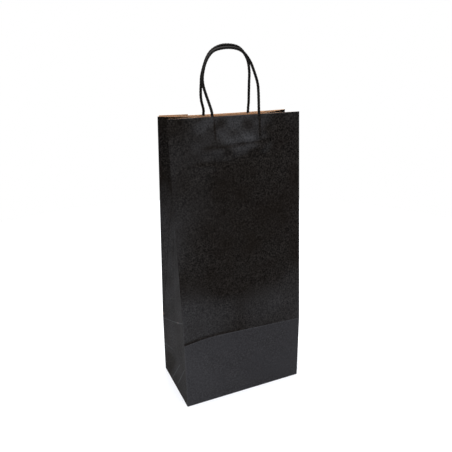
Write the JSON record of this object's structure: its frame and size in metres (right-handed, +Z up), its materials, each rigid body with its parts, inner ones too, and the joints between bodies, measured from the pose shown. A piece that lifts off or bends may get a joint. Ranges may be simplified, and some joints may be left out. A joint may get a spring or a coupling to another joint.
{
  "type": "wine gift bag",
  "caption": "Tall block-bottomed kraft paper bag, black outside and brown inside, with gusseted sides and twisted cord handles, for wine bottles.",
  "frame": {"origin": "under the middle of the base, on the plane it stands on", "axes": "+Z up, +X to the right when facing the front, +Y from the front to the back"},
  "size_m": [0.18, 0.1, 0.4694],
  "materials": {
    "outer_paper": "matt black kraft paper, slightly mottled, rubbed grey along its folds",
    "kraft_paper": "unprinted brown kraft paper with fine fibres",
    "paper_cord": "black paper twisted into a three-strand cord"
  },
  "bodies": {
    "base": {"base_outer_flap": "outer_paper", "base_inner_flap": "outer_paper", "base_corner_folds": "kraft_paper", "base_left_tuck": "kraft_paper", "base_right_tuck": "kraft_paper", "lower_front_wall": "outer_paper", "lower_back_wall": "outer_paper", "lower_left_side": "outer_paper", "lower_right_side": "outer_paper", "lower_seam": "kraft_paper"},
    "front_panel": {"front_panel": "outer_paper", "front_patch_base": "kraft_paper", "front_patch_cover": "kraft_paper", "front_handle_ends": "paper_cord"},
    "back_panel": {"back_panel": "outer_paper", "back_seam": "kraft_paper", "back_patch_base": "kraft_paper", "back_patch_cover": "kraft_paper", "back_handle_ends": "paper_cord"},
    "front_handle": {"front_handle": "paper_cord"},
    "back_handle": {"back_handle": "paper_cord"},
    "left_gusset": {"left_gusset_centre": "outer_paper"},
    "right_gusset": {"right_gusset_centre": "outer_paper"},
    "left_front_fold": {"left_gusset_front_fold": "outer_paper"},
    "right_front_fold": {"right_gusset_front_fold": "outer_paper"},
    "left_back_fold": {"left_gusset_back_fold": "outer_paper"},
    "right_back_fold": {"right_gusset_back_fold": "outer_paper"}
  },
  "joints": [
    {"name": "front_panel_tilt", "type": "hinge", "parent": "base", "child": "front_panel", "pos_m": [0, -0.047, 0.098], "axis": [1, 0, 0], "range_deg": [0, 2.8]},
    {"name": "back_panel_tilt", "type": "hinge", "parent": "base", "child": "back_panel", "pos_m": [0, 0.047, 0.098], "axis": [-1, 0, 0], "range_deg": [0, 2.8]},
    {"name": "left_gusset_tilt", "type": "hinge", "parent": "base", "child": "left_gusset", "pos_m": [-0.09, 0, 0.098], "axis": [0, -1, 0], "range_deg": [0, 1.78]},
    {"name": "right_gusset_tilt", "type": "hinge", "parent": "base", "child": "right_gusset", "pos_m": [0.09, 0, 0.098], "axis": [0, 1, 0], "range_deg": [0, 1.78]},
    {"name": "left_front_fold_turn", "type": "hinge", "parent": "front_panel", "child": "left_front_fold", "pos_m": [-0.09, -0.047, 0.098], "axis": [0, 0.101, 0.9949], "range_deg": [0, 20.6]},
    {"name": "right_front_fold_turn", "type": "hinge", "parent": "front_panel", "child": "right_front_fold", "pos_m": [0.09, -0.047, 0.098], "axis": [0, -0.101, -0.9949], "range_deg": [0, 20.6]},
    {"name": "left_back_fold_turn", "type": "hinge", "parent": "back_panel", "child": "left_back_fold", "pos_m": [-0.09, 0.047, 0.098], "axis": [0, 0.101, -0.9949], "range_deg": [0, 20.6]},
    {"name": "right_back_fold_turn", "type": "hinge", "parent": "back_panel", "child": "right_back_fold", "pos_m": [0.09, 0.047, 0.098], "axis": [0, -0.101, 0.9949], "range_deg": [0, 20.6]},
    {"name": "front_handle_swing", "type": "hinge", "parent": "front_panel", "child": "front_handle", "pos_m": [0, -0.01496, 0.39327], "axis": [1, 0, 0], "range_deg": [0, 140]},
    {"name": "back_handle_swing", "type": "hinge", "parent": "back_panel", "child": "back_handle", "pos_m": [0, 0.01496, 0.39327], "axis": [-1, 0, 0], "range_deg": [0, 140]}
  ],
  "couplings": [
    {"joint": "back_panel_tilt", "follows": "front_panel_tilt", "ratio": 1},
    {"joint": "left_gusset_tilt", "follows": "front_panel_tilt", "ratio": 0.6326},
    {"joint": "right_gusset_tilt", "follows": "front_panel_tilt", "ratio": 0.6326},
    {"joint": "left_front_fold_turn", "follows": "front_panel_tilt", "ratio": 7.3387},
    {"joint": "right_front_fold_turn", "follows": "front_panel_tilt", "ratio": 7.3387},
    {"joint": "left_back_fold_turn", "follows": "front_panel_tilt", "ratio": 7.3387},
    {"joint": "right_back_fold_turn", "follows": "front_panel_tilt", "ratio": 7.3387}
  ]
}
